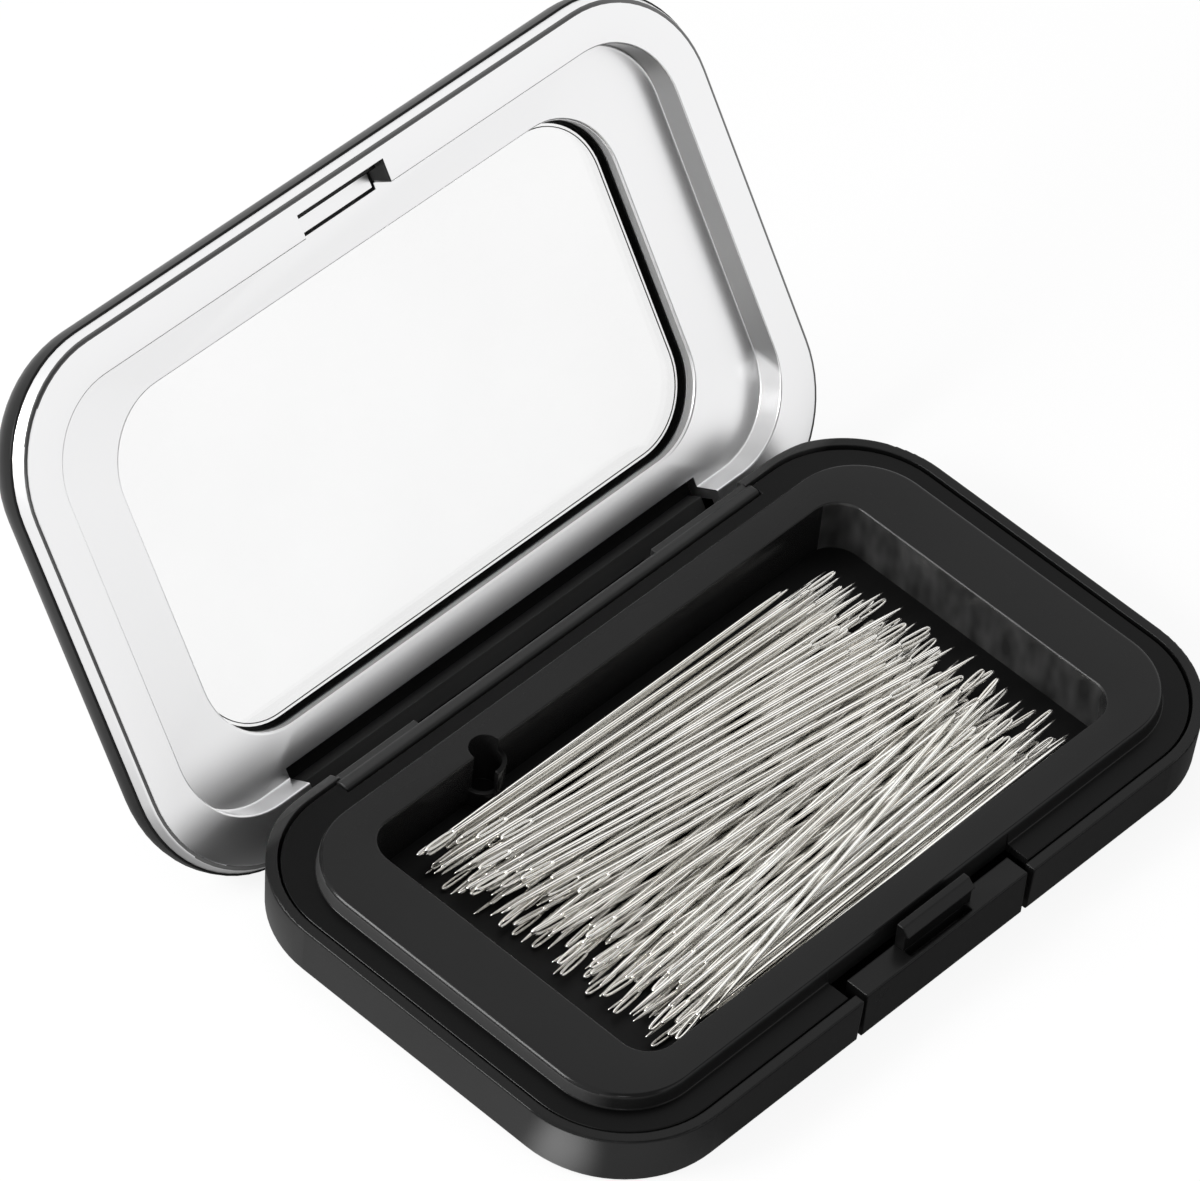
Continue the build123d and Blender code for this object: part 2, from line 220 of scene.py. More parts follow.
def skin(first, rows, around, closed):
    """Return the faces on rings of points: a closed loop of bands, or a stack with capped ends."""
    faces = []
    for row in range(rows if closed else rows - 1):
        low = first + row * around
        high = first + (row + 1) % rows * around
        for step in range(around):
            after = (step + 1) % around
            faces.append((low + step, low + after, high + after, high + step))
    if not closed:
        last = first + (rows - 1) * around
        faces.append(tuple(range(first, first + around))[::-1])
        faces.append(tuple(range(last, last + around)))
    return faces


def solid(name, points, faces):
    """Make an object from points and faces."""
    mesh = bpy.data.meshes.new(name)
    mesh.from_pydata(points, [], faces)
    mesh.update()
    obj = bpy.data.objects.new(name, mesh)
    bpy.context.scene.collection.objects.link(obj)
    return obj


def loft(name, profile, place, closed):
    """Make a solid from the rings of a profile."""
    rows = rounded(profile, closed)
    points = []
    for outline, z in rows:
        points += ring(outline, z, place)
    return solid(name, points, skin(0, len(rows), 4 * (CORNER_STEPS + 1), closed))


def box(name, low, high, place=flat):
    """Make a box from its low corner to its high one."""
    corners = [place(x, y, z) for z in (low[2], high[2]) for y in (low[1], high[1])
               for x in (low[0], high[0])]
    return solid(name, corners, [(0, 2, 3, 1), (4, 5, 7, 6), (0, 1, 5, 4), (2, 6, 7, 3),
                                 (0, 4, 6, 2), (1, 3, 7, 5)])


def post(x, y, low, high, radius):
    """Make an upright round post to join or cut with."""
    turns = [2 * pi * step / POST_STEPS for step in range(POST_STEPS)]
    corners = [flat(x + radius * cos(turn), y + radius * sin(turn), z)
               for z in (low, high) for turn in turns]
    return solid("post", corners, skin(0, 2, POST_STEPS, False))


def combine(obj, others, operation):
    """Cut or join other objects and keep only the result."""
    for other in others:
        change = obj.modifiers.new("change", "BOOLEAN")
        change.operation = operation
        change.solver = "EXACT"
        change.object = other
    bpy.context.view_layer.update()
    made = bpy.data.meshes.new_from_object(obj.evaluated_get(bpy.context.evaluated_depsgraph_get()))
    obj.modifiers.clear()
    obj.data = made
    for other in others:
        bpy.data.objects.remove(other)


def soften(obj, width):
    """Shade a piece smooth up to its sharp edges, and give those a small rounding if asked."""
    obj.data.shade_smooth()
    obj.data.set_sharp_from_angle(angle=radians(SHARP_ANGLE))
    if width:
        bevel = obj.modifiers.new("bevel", "BEVEL")
        bevel.width = width * MM
        bevel.segments = BEVEL_SEGMENTS
        bevel.limit_method = "ANGLE"
        bevel.angle_limit = radians(SHARP_ANGLE)
        bevel.harden_normals = True


def wear(obj, body, slot, look, *replaced):
    """Dress a piece, tie it to its body and let it stand for CAD nodes."""
    obj.data.materials.clear()
    obj.data.materials.append(look)
    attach(obj, body)
    if replaced:
        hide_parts(*replaced)


def share_out(obj, looks, pick):
    """Add looks to a piece, and give each face its own by the number that pick returns."""
    for look in looks:
        obj.data.materials.append(look)
    for face in obj.data.polygons:
        face.material_index = pick(face)


# Helpers for materials, the floor and the world
def grey(level, blue=0.0):
    """Return a grey, a touch bluer if asked."""
    return (level, level, level + blue)


def material(name, colour, rough, metal=0.0, **more):
    """Start a material and return it with its shader and node tree."""
    made = bpy.data.materials.new(name)
    made.use_nodes = True
    tree = made.node_tree
    shader = tree.nodes["Principled BSDF"]
    shader.inputs["Base Color"].default_value = (*colour, 1)
    shader.inputs["Roughness"].default_value = rough
    shader.inputs["Metallic"].default_value = metal
    for socket, value in more.items():
        shader.inputs[socket.replace("_", " ")].default_value = value
    return made, shader, tree


def grain(tree, scale, detail, stretch=None):
    """Return a noise in object space, with so many waves to the metre."""
    source = tree.nodes.new("ShaderNodeTexCoord").outputs["Object"]
    noise = tree.nodes.new("ShaderNodeTexNoise")
    noise.inputs["Scale"].default_value = scale
    noise.inputs["Detail"].default_value = detail
    if stretch:
        mapping = tree.nodes.new("ShaderNodeMapping")
        mapping.inputs["Scale"].default_value = stretch
        tree.links.new(source, mapping.inputs["Vector"])
        source = mapping.outputs["Vector"]
    tree.links.new(source, noise.inputs["Vector"])
    return noise.outputs["Fac"]


# The part of a noise's range that it is mostly found in
NOISE_LOW = 0.3
NOISE_HIGH = 0.7


def spread(tree, source, low, high, start=NOISE_LOW, end=NOISE_HIGH):
    """Map a noise onto a range of values."""
    mapped = tree.nodes.new("ShaderNodeMapRange")
    mapped.inputs["From Min"].default_value = start
    mapped.inputs["From Max"].default_value = end
    mapped.inputs["To Min"].default_value = low
    mapped.inputs["To Max"].default_value = high
    tree.links.new(source, mapped.inputs["Value"])
    return mapped.outputs["Result"]


def tint(tree, source, low, high):
    """Blend between two colours by a noise."""
    band = tree.nodes.new("ShaderNodeValToRGB")
    band.color_ramp.elements[0].position = NOISE_LOW
    band.color_ramp.elements[0].color = (*low, 1)
    band.color_ramp.elements[1].position = NOISE_HIGH
    band.color_ramp.elements[1].color = (*high, 1)
    tree.links.new(source, band.inputs["Fac"])
    return band.outputs["Color"]


def bumps(tree, source, shader, height, edge=0.0):
    """Raise a noise as fine relief, and round the edges of the shading if asked."""
    bump = tree.nodes.new("ShaderNodeBump")
    if edge:
        rounding = tree.nodes.new("ShaderNodeBevel")
        rounding.samples = BEVEL_SAMPLES
        rounding.inputs["Radius"].default_value = edge * MM
        tree.links.new(rounding.outputs["Normal"], bump.inputs["Normal"])
    bump.inputs["Strength"].default_value = 1.0
    bump.inputs["Distance"].default_value = height * MM
    tree.links.new(source, bump.inputs["Height"])
    tree.links.new(bump.outputs["Normal"], shader.inputs["Normal"])


def feed(tree, value, socket):
    """Link an output to a socket, or set the socket to a number."""
    if isinstance(value, (int, float)):
        socket.default_value = value
    else:
        tree.links.new(value, socket)


def join(tree, operation, first, second):
    """Return what a maths operation makes of two values."""
    made = tree.nodes.new("ShaderNodeMath")
    made.operation = operation
    feed(tree, first, made.inputs[0])
    feed(tree, second, made.inputs[1])
    return made.outputs["Value"]


def blend(tree, share, first, second):
    """Return the blend of two values."""
    made = tree.nodes.new("ShaderNodeMix")
    feed(tree, share, made.inputs["Factor"])
    feed(tree, first, made.inputs["A"])
    feed(tree, second, made.inputs["B"])
    return made.outputs["Result"]


def ramp(tree, source, start, end, low, high):
    """Return a value that changes softly from low at the start to high at the end."""
    made = tree.nodes.new("ShaderNodeMapRange")
    made.interpolation_type = "SMOOTHSTEP"
    made.inputs["From Min"].default_value = start
    made.inputs["From Max"].default_value = end
    made.inputs["To Min"].default_value = low
    made.inputs["To Max"].default_value = high
    tree.links.new(source, made.inputs["Value"])
    return made.outputs["Result"]


def measure(tree, operation, source, vector):
    """Return the one value that a vector operation makes of a source and a fixed vector."""
    made = tree.nodes.new("ShaderNodeVectorMath")
    made.operation = operation
    made.inputs[1].default_value = vector
    tree.links.new(source, made.inputs[0])
    return made.outputs["Value"]


def axes(tree, source):
    """Return the outputs for the X, Y and Z of a vector."""
    parts = tree.nodes.new("ShaderNodeSeparateXYZ")
    tree.links.new(source, parts.inputs["Vector"])
    return parts.outputs


def mix_surfaces(tree, share, first, second, output):
    """Send the blend of two shaders to an output node."""
    made = tree.nodes.new("ShaderNodeMixShader")
    tree.links.new(share, made.inputs["Fac"])
    tree.links.new(first, made.inputs[1])
    tree.links.new(second, made.inputs[2])
    tree.links.new(made.outputs["Shader"], tree.nodes[output].inputs["Surface"])


def direction(azimuth, elevation):
    """Return the direction at an azimuth from +X and an elevation."""
    turn = radians(azimuth)
    lift = radians(elevation)
    return Vector((cos(lift) * cos(turn), cos(lift) * sin(turn), sin(lift)))


# Materials
def plastic(name, low, high, rough, edge=0.0, shine=0.2):
    """Black moulded plastic with a fine grain and faint handling marks."""
    made, shader, tree = material(name, high, rough, Specular_IOR_Level=shine)
    marks = grain(tree, scale=60, detail=3)
    fine = grain(tree, scale=2500, detail=2)
    tree.links.new(tint(tree, marks, low, high), shader.inputs["Base Color"])
    tree.links.new(spread(tree, marks, rough - 0.03, rough + 0.05), shader.inputs["Roughness"])
    bumps(tree, fine, shader, height=0.002, edge=edge)
    return made


def silver_paint(name, low, high, rough):
    """Satin silver with a very fine sparkle."""
    made, shader, tree = material(name, high, rough, metal=1.0)
    broad = grain(tree, scale=35, detail=3)
    fine = grain(tree, scale=4000, detail=2)
    tree.links.new(tint(tree, broad, low, high), shader.inputs["Base Color"])
    tree.links.new(spread(tree, broad, rough - 0.02, rough + 0.02), shader.inputs["Roughness"])
    bumps(tree, fine, shader, height=0.0004)
    return made


def paint_light_grade(made, grade, low, high, mottle):
    """Paint light or shade into a material: its colour goes softly from low to high, with faint mottling.

    The grade is an axis, the places where it starts and ends, and whether it falls between them.
    """
    axis, start, end, falls = grade
    tree = made.node_tree
    place = tree.nodes.new("ShaderNodeTexCoord").outputs["Object"]
    share = ramp(tree, axes(tree, place)[axis], start * MM, end * MM, float(falls), float(not falls))
    mottled = join(tree, "MULTIPLY", share, spread(tree, grain(tree, scale=60, detail=3), mottle, 1.0))
    tree.links.new(tint(tree, mottled, low, high), tree.nodes["Principled BSDF"].inputs["Base Color"])
    return made


def reflection_streaked_plastic(name):
    """Black plastic with soft upright lighter streaks: painted reflections of the needle ends."""
    made, shader, tree = material(name, grey(0.03), rough=0.2, Specular_IOR_Level=0.2)
    reflection_streaks = grain(tree, scale=480, detail=1, stretch=(1, 1, 0.45))
    tree.links.new(tint(tree, reflection_streaks, grey(0.016), grey(0.042)), shader.inputs["Base Color"])
    tree.links.new(spread(tree, reflection_streaks, 0.15, 0.25), shader.inputs["Roughness"])
    return made


def polished_steel(name):
    """Polished plated steel, a little warm, with drawn lines along the needle."""
    made, shader, tree = material(name, (0.90, 0.88, 0.83), rough=0.2, metal=1.0)
    lines = grain(tree, scale=900, detail=3, stretch=(0.08, 1, 1))
    tree.links.new(tint(tree, lines, (0.88, 0.86, 0.81), (1.0, 0.99, 0.96)), shader.inputs["Base Color"])
    tree.links.new(spread(tree, lines, 0.08, 0.18), shader.inputs["Roughness"])
    return made


def drawn_steel(name):
    """Drawn wire."""
    made, shader, tree = material(name, grey(0.6), rough=0.3, metal=1.0)
    lines = grain(tree, scale=700, detail=3, stretch=(0.1, 1, 1))
    tree.links.new(spread(tree, lines, 0.22, 0.4), shader.inputs["Roughness"])
    return made


def clear_acrylic(name):
    """Clear acrylic with faint clouds where it has been rubbed."""
    made, shader, tree = material(name, (0.985, 0.99, 0.99), rough=0.02,
                                  Transmission_Weight=1.0, IOR=1.49)
    clouds = grain(tree, scale=28, detail=5)
    tree.links.new(tint(tree, clouds, grey(0.9), grey(0.945)), shader.inputs["Base Color"])
    tree.links.new(spread(tree, clouds, 0.0, 0.09, start=0.45, end=0.75), shader.inputs["Roughness"])
    return made


shell_black = plastic("shell_black", grey(0.004), grey(0.006, blue=0.0001), rough=0.3, edge=0.25)
tray_black = plastic("tray_black", grey(0.0065), grey(0.008), rough=0.2, edge=0.1)
# Painted shade: the flange of the tray, low between the shell wall and the plateau, is painted darker than
# the tray
flange_painted_shade = plastic("flange_painted_shade", grey(0.001), grey(0.002), rough=0.34, edge=0.1, shine=0.12)
leaf_black = plastic("leaf_black", grey(0.028), grey(0.036), rough=0.4, edge=0.15)
deep_black = plastic("deep_black", grey(0.001), grey(0.002), rough=0.6, shine=0.02)
sheet_black = plastic("sheet_black", grey(0.0015), grey(0.003), rough=0.55)
# Painted reflection: the right wall of the well is painted lighter, with streaks for the needles mirrored
# in it
well_wall_painted_reflection = reflection_streaked_plastic("well_wall_painted_reflection")
# Painted light and shade: the outer side of the plateau is painted lighter, and darker towards the front
plateau_side_painted_light = paint_light_grade(plastic("plateau_side_painted_light", grey(0.042), grey(0.042), rough=0.35, edge=0.1),
                    ("Y", -24.5, -15.5, False), grey(0.009), grey(0.042), mottle=0.85)
# Painted light: the base shell is painted lighter at its back, on the hinge ridge, and dark elsewhere
base_back_painted_light = paint_light_grade(plastic("base_back_painted_light", grey(0.028), grey(0.028), rough=0.3, edge=0.25),
                    ("Y", 24.0, 28.0, False), grey(0.005), grey(0.028), mottle=0.85)
lid_silver = silver_paint("lid_silver", grey(0.88, blue=0.005), grey(0.90, blue=0.005), rough=0.3)
# Painted reflection: a dark silver for the dark band mirrored on the rounded edge of the rim
rim_edge_painted_reflection = silver_paint("rim_edge_painted_reflection", grey(0.13), grey(0.17), rough=0.35)
# Painted shade: the right wall of the recess is painted darker towards its top
recess_wall_painted_shade = paint_light_grade(silver_paint("recess_wall_painted_shade", grey(0.9), grey(0.9), rough=0.3),
                     ("Z", 7.2, 9.8, True), grey(0.42), grey(0.9), mottle=0.92)
# Painted shade: a darker silver for the wall of the window opening
cut_edge_painted_shade = silver_paint("cut_edge_painted_shade", grey(0.36), grey(0.42), rough=0.4)
needle_steel = polished_steel("needle_steel")
pin_steel = drawn_steel("pin_steel")
pane_clear = clear_acrylic("pane_clear")

# Which of its looks a face wears, where a piece has several
OWN_LOOK = 0
FLANGE_SHADE_LOOK = 1
SIDE_LIGHT_LOOK = 2
WALL_REFLECTION_LOOK = 3
EDGE_REFLECTION_LOOK = 1
RECESS_WALL_SHADE_LOOK = 2

# Tray insert
flange = inset(CASE, FLANGE_INSET)
well_outside = inset(WELL, -WELL_WALL)
tray = loft("tray_insert_look", [
    (flange, FLANGE_UNDERSIDE, FLANGE_LOWER_ROUND), (flange, FLANGE_TOP, FLANGE_ROUND),
    (inset(PLATEAU, -PLATEAU_DRAFT), FLANGE_TOP, PLATEAU_FOOT_ROUND), (PLATEAU, PLATEAU_TOP, PLATEAU_ROUND),
    (WELL, PLATEAU_TOP, WELL_ROUND), (WELL, SHEET_TOP, 0), (well_outside, SHEET_TOP, 0),
    (well_outside, FLANGE_UNDERSIDE, 0)], flat, True)
combine(tray, [post(NOTCH_X, NOTCH_Y, SHEET_TOP, BOSS_TOP, BOSS_RADIUS)], "UNION")
combine(tray, [post(NOTCH_X, NOTCH_Y, NOTCH_FLOOR, ABOVE_TRAY, NOTCH_RADIUS),
               box("notch_slot", *NOTCH_SLOT), box("hinge_cut", *HINGE_CUT),
               box("latch_cut", *LATCH_CUT)], "DIFFERENCE")
soften(tray, TRAY_BEVEL)
wear(tray, "base", "tray_black", tray_black, "tray_insert")


# How far a face points up or to the left, from -1 to 1, to be taken for a top, a side or a wall
TOP_UPWARD = 0.9
SIDE_UPWARD = 0.5
WALL_LEFTWARD = 0.3
SAME_LEVEL = 0.1


def tray_face_look(face):
    """Return the look of a face: flange top with painted shade, outer side of the plateau with painted
    light and shade, right wall of the well with painted reflections, or other.
    """
    half, front, _, _ = well_outside
    outside = abs(face.center.x) > half * MM or face.center.y < front * MM
    above_flange = face.center.z - FLANGE_TOP * MM
    if face.normal.z > TOP_UPWARD and abs(above_flange) < SAME_LEVEL * MM:
        return FLANGE_SHADE_LOOK
    if outside and face.normal.z < SIDE_UPWARD and above_flange > 0:
        return SIDE_LIGHT_LOOK
    if not outside and -face.normal.x > WALL_LEFTWARD and face.center.x > 0:
        return WALL_REFLECTION_LOOK
    return OWN_LOOK


share_out(tray, (flange_painted_shade, plateau_side_painted_light, well_wall_painted_reflection), tray_face_look)

# Lid frame
frame_skirt = inset(RECESS, -FRAME_SKIRT)
lid_frame = loft("lid_frame_look", [
    (inset(LID, FRAME_SIDE_INSET), FRAME_BACK, FRAME_SIDE_ROUND),
    (inset(LID, FRAME_BEND_INSET), FRAME_BEND, FRAME_BEND_ROUND),
    (inset(LID, FRAME_FACE_INSET), 0, FRAME_EDGE_ROUND), (inset(LID, FRAME_FACE_RING), 0, 0),
    (RECESS, 0, RECESS_ROUND), (inset(RECESS, RECESS_DRAFT), RECESS_DEPTH, RECESS_ROUND),
    (WINDOW, RECESS_DEPTH, WINDOW_ROUND), (WINDOW, FRAME_DEPTH, 0), (frame_skirt, FRAME_DEPTH, 0),
    (frame_skirt, FRAME_BACK, 0)], opened, True)
combine(lid_frame, [box("lid_hinge_cut", *LID_HINGE_CUT, opened),
                    box("catch_cut", *CATCH_CUT, opened)], "DIFFERENCE")
soften(lid_frame, FRAME_BEVEL)
wear(lid_frame, "lid", "lid_silver", lid_silver, "lid_frame")


def lid_depth(place):
    """Return how far inside the lid's outline a point of the open lid lies, and its height."""
    away = place.y / MM - HINGE_Y
    up = place.z / MM - HINGE_Z
    y = HINGE_Y + cos(OPEN_ANGLE) * away - sin(OPEN_ANGLE) * up
    height = sin(OPEN_ANGLE) * away + cos(OPEN_ANGLE) * up + HINGE_Z - RIM_LEVEL
    half, front, back, corner = LID
    over_x = max(abs(place.x / MM) - half + corner, 0)
    over_y = max(abs(y - (front + back) / 2) - (back - front) / 2 + corner, 0)
    return corner - sqrt(over_x ** 2 + over_y ** 2), height


# The rounded edge of the rim wears a painted dark reflection, darker than its face, where it leans over by
# so many degrees
EDGE_REACH = 1.3
EDGE_HEIGHT = 0.6
EDGE_LEAN = (6, 52)
EDGE_LEAN_ON_LEFT = (18, 46)
# The right wall of the recess, painted darker towards its top as painted shade, is found by how far inside
# the outline it lies and by its height
RECESS_WALL_REACH = (4, 7.5)
RECESS_WALL_HEIGHT = (0.1, 3.1)
HARDLY = 0.01
lid_facing = Vector((0, -sin(OPEN_ANGLE), -cos(OPEN_ANGLE)))


def frame_face_look(face):
    """Return the look of a face: rounded edge of the rim with its painted reflection, right wall of the
    recess with its painted shade, or other.
    """
    depth, height = lid_depth(face.center)
    lean = face.normal.angle(lid_facing)
    outward = face.normal - face.normal.dot(lid_facing) * lid_facing
    leftward = max(0, -outward.x / max(outward.length, HARDLY))
    least, most = [radians(plain + (left - plain) * leftward)
                   for plain, left in zip(EDGE_LEAN, EDGE_LEAN_ON_LEFT)]
    if depth < EDGE_REACH and height < EDGE_HEIGHT and least < lean < most:
        return EDGE_REFLECTION_LOOK
    in_wall = (RECESS_WALL_REACH[0] < depth < RECESS_WALL_REACH[1]
               and RECESS_WALL_HEIGHT[0] < height < RECESS_WALL_HEIGHT[1])
    return RECESS_WALL_SHADE_LOOK if in_wall and -face.normal.x > HARDLY else OWN_LOOK


share_out(lid_frame, (rim_edge_painted_reflection, recess_wall_painted_shade), frame_face_look)

# Painted shade: a darker grey skin over the cut edge of the window
cut_outer = inset(WINDOW, -CUT_EDGE_PROUD)
cut_inner = inset(WINDOW, CUT_EDGE_PROUD)
cut_edge = loft("window_cut_edge_shade", [
    (cut_outer, CUT_EDGE_START, 0), (cut_inner, CUT_EDGE_START, CUT_EDGE_ROUND),
    (cut_inner, CUT_EDGE_END, 0), (cut_outer, CUT_EDGE_END, 0)], opened, True)
soften(cut_edge, 0)
wear(cut_edge, "lid", "lid_silver", cut_edge_painted_shade)

# Catch plate, and a thin dark sheet on the silver end wall of its notch, as painted shade
catch_plate = box("catch_plate_look", *CATCH_PLATE, opened)
soften(catch_plate, PLATE_BEVEL)
wear(catch_plate, "lid", "lid_silver", lid_silver, "catch_plate")
notch_shade_sheet = box("notch_shade_sheet", *CATCH_NOTCH_SHADE, opened)
soften(notch_shade_sheet, 0)
wear(notch_shade_sheet, "lid", "shell_black", leaf_black)

# Lid cover, with the rib and the lip beside the catch
cover_opening = inset(WINDOW, -COVER_LAP)
cover_inside = inset(LID, COVER_WALL)
lid_cover = loft("lid_cover_look", [
    (LID, COVER_EDGE, COVER_EDGE_ROUND), (LID, COVER_TOP, COVER_ROUND),
    (inset(LID, COVER_TOP_RING), COVER_TOP, 0), (cover_opening, COVER_TOP, COVER_LAP_ROUND),
    (cover_opening, PANE_SEAT, 0), (inset(WINDOW, COVER_SEAT_INSET), PANE_SEAT, COVER_EDGE_ROUND),
    (inset(WINDOW, COVER_OPENING_INSET), FRAME_DEPTH, 0), (cover_inside, FRAME_DEPTH, COVER_INNER_ROUND),
    (cover_inside, COVER_EDGE, 0)], opened, True)
combine(lid_cover, [box("catch_rib", *CATCH_RIB, opened)], "UNION")
combine(lid_cover, [box("catch_lip", *CATCH_LIP, opened)], "UNION")
soften(lid_cover, 0)
wear(lid_cover, "lid", "shell_black", shell_black, "lid_cover")

# Window pane
pane_outline = inset(WINDOW, -PANE_LAP)
pane = loft("window_pane_look", [(pane_outline, PANE_SEAT, 0), (pane_outline, PANE_TOP, 0)], opened, False)
soften(pane, PANE_BEVEL)
wear(pane, "lid", "pane_clear", pane_clear, "window_pane")

# Dark liner of the window opening, and a thin dark ring just inside the window edge, under the pane
liner = loft("window_liner", [
    (inset(WINDOW, LINER_INSET), LINER_START, 0), (inset(WINDOW, LINER_INSET + LINER_LEAN), LINER_END, 0),
    (inset(WINDOW, LINER_INSET + LINER_LEAN + LINER_THICKNESS), LINER_END, 0),
    (inset(WINDOW, LINER_INSET + LINER_THICKNESS), LINER_START, 0)], opened, True)
soften(liner, 0)
wear(liner, "lid", "shell_black", deep_black)
dark_ring = loft("pane_dark_ring", [
    (inset(WINDOW, DARK_RING_OUTER), DARK_RING_END, 0), (inset(WINDOW, DARK_RING_OUTER), DARK_RING_START, 0),
    (inset(WINDOW, DARK_RING_INNER), DARK_RING_START, 0), (inset(WINDOW, DARK_RING_INNER), DARK_RING_END, 0)], opened, True)
soften(dark_ring, 0)
wear(dark_ring, "lid", "shell_black", leaf_black)

# Needles
NEEDLE_LENGTH = 54.5
NEEDLE_RADIUS = 0.3
NEEDLE_SIDES = 12
SHANK_RADIUS = 0.28
POINT_LENGTH = 4.5
POINT_STEPS = 8
POINT_POWER = 0.65
TIP_RADIUS = 0.05
EYE_LENGTH = 4.4
EYE_WIDTH = 0.86
EYE_STEPS = 28
EYE_END_POWER = 0.8
EYE_SIDE_POWER = 0.7
STRAND_HALF_WIDTH = 0.16
STRAND_HALF_HEIGHT = 0.2
STRAND_SIDES = 8
# Places counted from the end of the eye, with the half width and the half height of the needle there
NECK = ((-0.5, 0.16, 0.2), (-0.1, 0.24, 0.24), (0.8, 0.27, 0.27), (2.0, SHANK_RADIUS, SHANK_RADIUS))

# Heap of needles
ROW_GAP = 0.89
SIDE_REACH = 0.53
LAYER_PITCH = 0.62
HEAP_FRONT = -19.4
HEAP_BACK = 17.0
HEAP_X = 0.9
HEAP_SKEW = -0.03
SPACING_ROUNDS = 30
# Turns of the needles of each layer in degrees, from its front to its back
LAYER_TURNS = ((0, -3, 2, -2, 0), (0, 4, 5, 3, 0), (0, -5, -8, -4, 0), (1, 8, 3, -2, 0),
               (1, 3, -8, -6, 0), (12, 11, -2, -9, -6, 0))
# How far the needles stray, and how fast that changes from row to row and from layer to layer
END_SCATTER = 3.8
END_RATES = (2.4, 1.7)
TURN_SCATTER = 0.4
TURN_RATES = (7.3, 1.0)
ROLL_SCATTER = 40
ROLL_RATES = (4.7, 2.9)


def eye_loop(half):
    """Return the points of the eye, which is a strand bent into a long loop."""
    reach_x = EYE_LENGTH / 2 - STRAND_HALF_WIDTH
    reach_y = EYE_WIDTH / 2 - STRAND_HALF_WIDTH
    points = []
    for step in range(EYE_STEPS):
        turn = 2 * pi * step / EYE_STEPS
        x = reach_x * abs(cos(turn)) ** EYE_END_POWER * (1 if cos(turn) > 0 else -1)
        y = reach_y * abs(sin(turn)) ** EYE_SIDE_POWER * (1 if sin(turn) > 0 else -1)
        out = Vector((cos(turn) / reach_x, sin(turn) / reach_y, 0)).normalized()
        for side in range(STRAND_SIDES):
            around = 2 * pi * side / STRAND_SIDES
            points.append((x + EYE_LENGTH / 2 - half + STRAND_HALF_WIDTH * cos(around) * out.x,
                           y + STRAND_HALF_WIDTH * cos(around) * out.y,
                           STRAND_HALF_HEIGHT * sin(around)))
    return points


def needle_shape():
    """Return the points and faces of one needle along X, with its eye towards -X."""
    half = NEEDLE_LENGTH / 2
    stations = [(EYE_LENGTH - half + past, wide, high) for past, wide, high in NECK]
    stations += [(0, SHANK_RADIUS, SHANK_RADIUS), (half - POINT_LENGTH, SHANK_RADIUS, SHANK_RADIUS)]
    for step in range(1, POINT_STEPS + 1):
        t = step / POINT_STEPS
        size = NEEDLE_RADIUS * (1 - t) ** POINT_POWER + TIP_RADIUS * t
        stations.append((half - POINT_LENGTH * (1 - t), size, size))
    turns = [2 * pi * side / NEEDLE_SIDES for side in range(NEEDLE_SIDES)]
    points = [(x, wide * cos(turn), high * sin(turn)) for x, wide, high in stations for turn in turns]
    faces = skin(0, len(stations), NEEDLE_SIDES, False)
    faces += skin(len(points), EYE_STEPS, STRAND_SIDES, True)
    return points + eye_loop(half), faces


def turn_at(y, turns):
    """Return the turn in degrees of a needle whose middle lies at this place in its layer."""
    step = (y - HEAP_FRONT) / (HEAP_BACK - HEAP_FRONT) * (len(turns) - 1)
    low = min(int(step), len(turns) - 2)
    return turns[low] + (turns[low + 1] - turns[low]) * (step - low)


def layer_rows(turns):
    """Return the middle and the turn of each needle, spaced so that no two of them meet."""
    rows = []
    y = HEAP_FRONT
    while y < HEAP_BACK:
        turn = turn_at(y, turns)
        side_reach = NEEDLE_LENGTH / 2 * abs(sin(radians(turn))) + SIDE_REACH
        if HEAP_FRONT - SIDE_REACH < y - side_reach and y + side_reach < HEAP_BACK:
            rows.append((y, turn))
        following = y
        for _ in range(SPACING_ROUNDS):
            more = NEEDLE_LENGTH / 2 * abs(radians(turn_at(following, turns) - turn))
            following = y + (ROW_GAP + more) / cos(radians(turn))
        y = following
    return rows


def stray(rates, row, level):
    """Return a share from -1 to 1 that looks random from needle to needle."""
    return sin(rates[0] * row + rates[1] * level)


def laid(shape, x, y, z, facing, roll):
    """Return the points of a needle that is rolled, turned and moved to its place."""
    points = []
    for along, wide, high in shape:
        across = wide * cos(roll) - high * sin(roll)
        up = wide * sin(roll) + high * cos(roll)
        points.append(flat(x + along * cos(facing) - across * sin(facing),
                           y + along * sin(facing) + across * cos(facing), z + up))
    return points


needle_points, needle_faces = needle_shape()
for level, turns in enumerate(LAYER_TURNS):
    layer_z = SHEET_TOP + NEEDLE_RADIUS + level * LAYER_PITCH
    points = []
    faces = []
    for row, (y, turn) in enumerate(layer_rows(turns)):
        shift = END_SCATTER * stray(END_RATES, row, level)
        flip = 180 * ((row + level) % 2)
        facing = radians(turn + flip + TURN_SCATTER * stray(TURN_RATES, row, level))
        roll = radians(ROLL_SCATTER * stray(ROLL_RATES, row, level))
        first = len(points)
        points += laid(needle_points, HEAP_X + HEAP_SKEW * y + shift * cos(radians(turn)),
                       y + shift * sin(radians(turn)), layer_z, facing, roll)
        faces += [tuple(first + corner for corner in face) for face in needle_faces]
    heap = solid(f"needles_{level + 1}", points, faces)
    heap.data.shade_smooth()
    wear(heap, "base", "needle_steel", needle_steel, f"needle_layer_{level + 1}")

